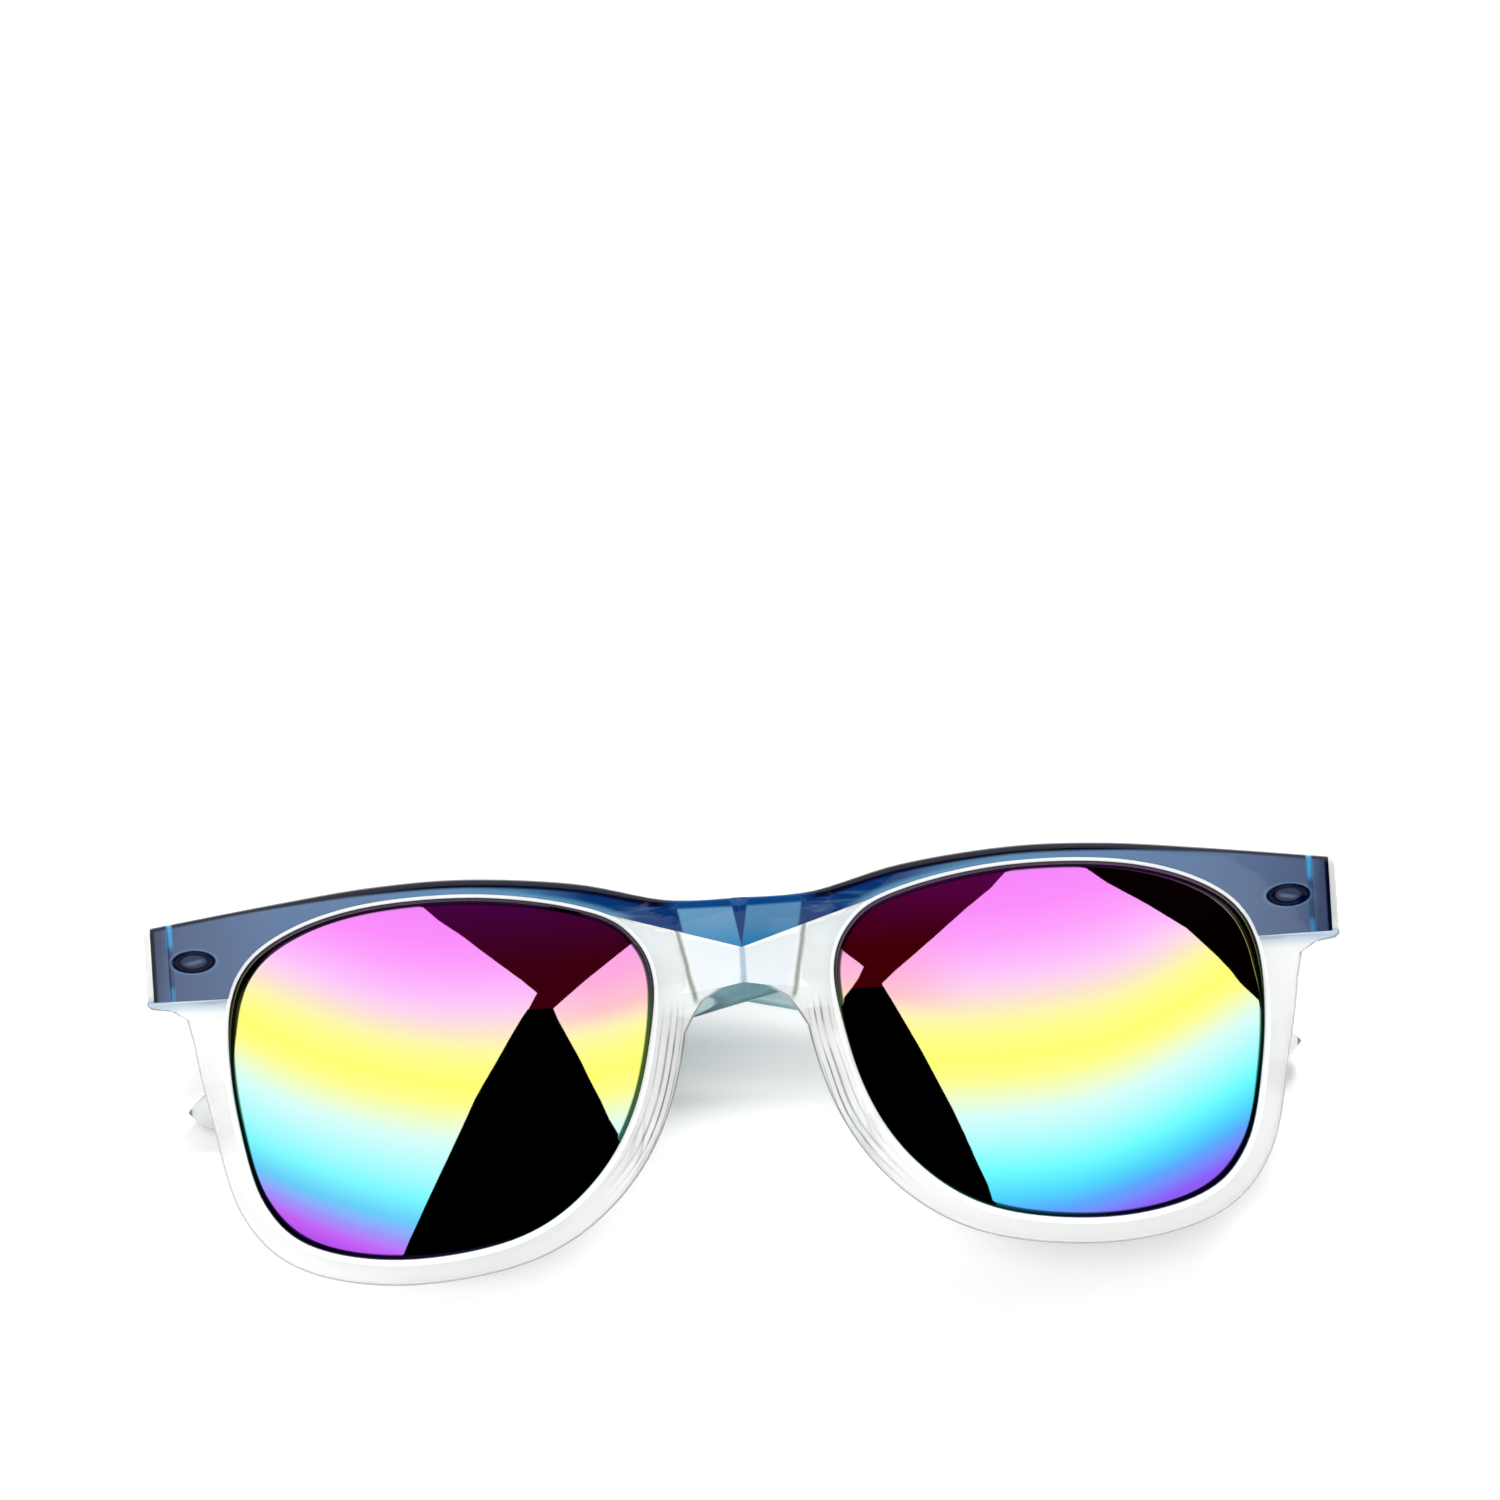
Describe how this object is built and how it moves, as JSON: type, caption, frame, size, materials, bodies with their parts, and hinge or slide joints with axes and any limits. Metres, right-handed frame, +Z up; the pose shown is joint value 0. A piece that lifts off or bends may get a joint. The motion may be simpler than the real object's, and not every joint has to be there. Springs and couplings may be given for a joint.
{
  "type": "mirrored sunglasses",
  "caption": "Folded sunglasses with a clear moulded front, translucent blue brow layer, mirrored rainbow lenses and hinged arms that shade from blue to clear.",
  "frame": {"origin": "on the surface that the folded part lies on, under the middle of its box", "axes": "+X across the front, to the right as seen from in front; +Y from the viewer's side, where the rims rest, to the brow's side; +Z up"},
  "size_m": [0.1455, 0.0508, 0.0404],
  "materials": {
    "clear_plastic": "polished clear, colourless",
    "blue_plastic": "polished translucent blue",
    "mirror_coating": "mirror coating graded from magenta through yellow and cyan to violet over a dark lens",
    "arm_plastic": "polished, shading from blue at the hinge to clear at the tip",
    "hinge_steel": "satin"
  },
  "bodies": {
    "front": {"front_frame": "clear_plastic", "brow_layer": "blue_plastic", "left_lens": "mirror_coating", "right_lens": "mirror_coating", "left_front_leaf": "hinge_steel", "right_front_leaf": "hinge_steel", "left_hinge_screw": "hinge_steel", "right_hinge_screw": "hinge_steel"},
    "left_temple": {"left_arm": "arm_plastic", "left_arm_leaf": "hinge_steel"},
    "right_temple": {"right_arm": "arm_plastic", "right_arm_leaf": "hinge_steel"}
  },
  "joints": [
    {"name": "left_hinge", "type": "hinge", "parent": "front", "child": "left_temple", "pos_m": [-0.0656, 0.01567, 0.01579], "axis": [-0.0393, 0.8125, 0.5816], "range_deg": [0, 81.5]},
    {"name": "right_hinge", "type": "hinge", "parent": "front", "child": "right_temple", "pos_m": [0.0661, 0.01567, 0.02469], "axis": [0.0393, -0.8125, -0.5816], "range_deg": [0, 86]}
  ]
}
